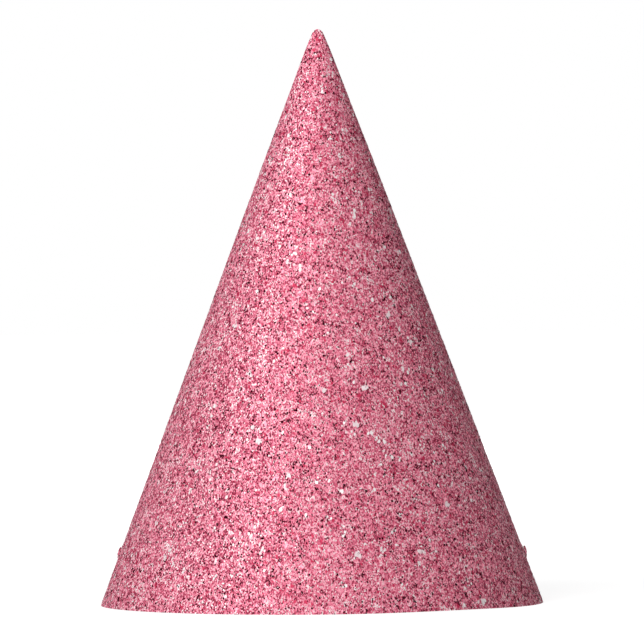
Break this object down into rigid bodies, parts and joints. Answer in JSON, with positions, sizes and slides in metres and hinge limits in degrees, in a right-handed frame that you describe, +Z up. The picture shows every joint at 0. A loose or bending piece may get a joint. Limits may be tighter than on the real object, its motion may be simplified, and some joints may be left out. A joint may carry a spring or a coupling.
{
  "type": "party hat",
  "caption": "Cone party hat rolled from glitter-faced card, lapped and taped up the back, open at the rim and tip, with a punched tongue on each side to hook a chin elastic.",
  "frame": {"origin": "centre of the rim, on the surface that the hat stands on", "axes": "+Z up to the tip; +Y to the back, where the card laps; +X to the right tongue, seen from the front"},
  "size_m": [0.127, 0.127, 0.1644],
  "materials": {
    "pink_glitter": "satin",
    "white_board": "matte",
    "seam_tape": "satin"
  },
  "bodies": {
    "hat": {"hat_board": "white_board", "glitter_film": "pink_glitter", "seam_tape": "seam_tape"},
    "left_tongue": {"left_tongue_board": "white_board", "left_tongue_film": "pink_glitter"},
    "right_tongue": {"right_tongue_board": "white_board", "right_tongue_film": "pink_glitter"}
  },
  "joints": [
    {"name": "left_tongue_bend", "type": "hinge", "parent": "hat", "child": "left_tongue", "pos_m": [-0.05858, 0, 0.0131], "axis": [0, -1, 0], "range_deg": [-10, 65]},
    {"name": "right_tongue_bend", "type": "hinge", "parent": "hat", "child": "right_tongue", "pos_m": [0.05877, 0, 0.0126], "axis": [0, 1, 0], "range_deg": [-13, 62]}
  ]
}
